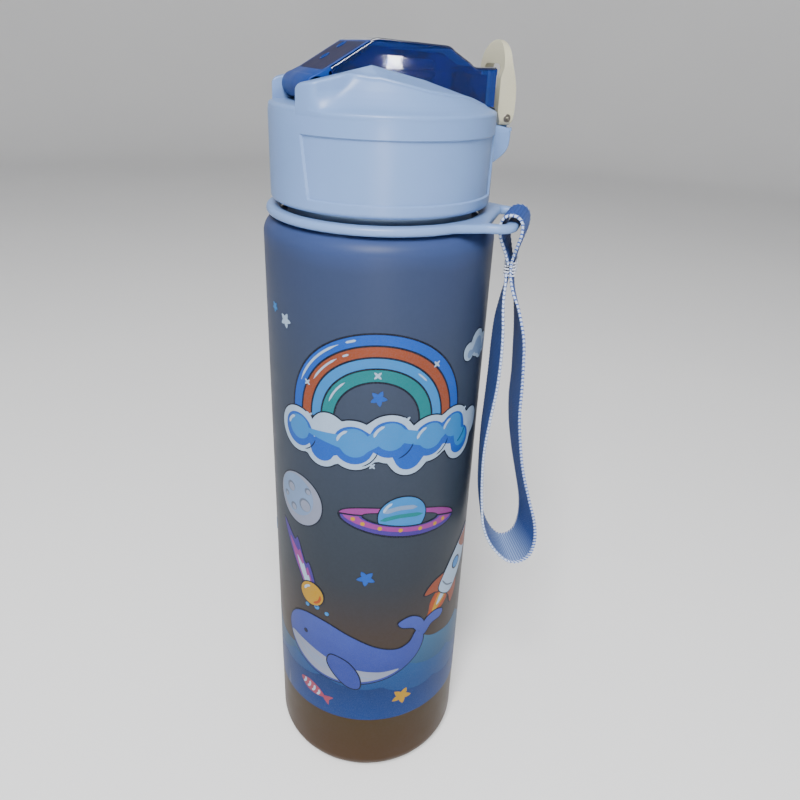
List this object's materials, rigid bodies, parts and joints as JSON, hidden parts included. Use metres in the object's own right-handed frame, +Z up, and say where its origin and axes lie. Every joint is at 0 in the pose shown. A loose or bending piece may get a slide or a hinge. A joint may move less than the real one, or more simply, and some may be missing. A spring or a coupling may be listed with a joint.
{
  "type": "kids water bottle",
  "caption": "Tall round drinking bottle with a screw cap, clear flip cover over a spout, side latch, and a carry ring with a hanging webbing strap.",
  "frame": {"origin": "centre of the flat base, on the bottle's own axis", "axes": "+Z up along the bottle's axis, +X from the axis towards the latch (the cover's hinge is on the -X side), +Y by the right-hand rule"},
  "size_m": [0.0857, 0.0781, 0.2565],
  "materials": {
    "bottle_frost": "frosted translucent, blue-grey at the top fading to amber at the base",
    "print_inks": "satin printed inks",
    "cap_plastic": "satin moulded",
    "clear_blue": "clear glossy",
    "latch_white": "satin off-white",
    "silicone": "matte translucent white",
    "steel_pin": "brushed",
    "webbing": "woven",
    "stitch_thread": "twisted thread"
  },
  "bodies": {
    "bottle": {"bottle_shell": "bottle_frost"},
    "ring": {"carry_ring": "cap_plastic"},
    "strap": {"carry_strap": "webbing", "strap_stitch": "stitch_thread"},
    "gasket": {"cap_gasket": "silicone"},
    "cap": {"cap_shell": "cap_plastic", "spout": "cap_plastic", "spout_seal": "silicone", "vent_valve": "silicone", "hinge_pin": "steel_pin"},
    "cover": {"flip_cover": "clear_blue", "spout_plug": "silicone"},
    "latch": {"latch": "latch_white", "latch_pin": "steel_pin"}
  },
  "joints": [
    {"name": "ring_turn", "type": "hinge", "parent": "bottle", "child": "ring", "pos_m": [0, 0, 0.21], "axis": [0, 0, 1], "continuous": true},
    {"name": "strap_swing", "type": "hinge", "parent": "ring", "child": "strap", "pos_m": [0.03333, -0.02422, 0.20995], "axis": [-0.5878, -0.809, 0], "range_deg": [0, 110]},
    {"name": "cap_lift", "type": "slide", "parent": "bottle", "child": "gasket", "axis": [0, 0, 1], "range_m": [0, 0.00605]},
    {"name": "cap_turn", "type": "hinge", "parent": "gasket", "child": "cap", "pos_m": [0, 0, 0.225], "axis": [0, 0, 1], "range_deg": [0, 540]},
    {"name": "cover_flip", "type": "hinge", "parent": "cap", "child": "cover", "pos_m": [-0.0225, 0, 0.243], "axis": [0, -1, 0], "range_deg": [0, 150]},
    {"name": "latch_swing", "type": "hinge", "parent": "cap", "child": "latch", "pos_m": [0.0359, 0, 0.2361], "axis": [0, 1, 0], "range_deg": [0, 95]}
  ],
  "couplings": [
    {"joint": "cap_lift", "follows": "cap_turn", "m_per_rad": 0.00063662}
  ]
}
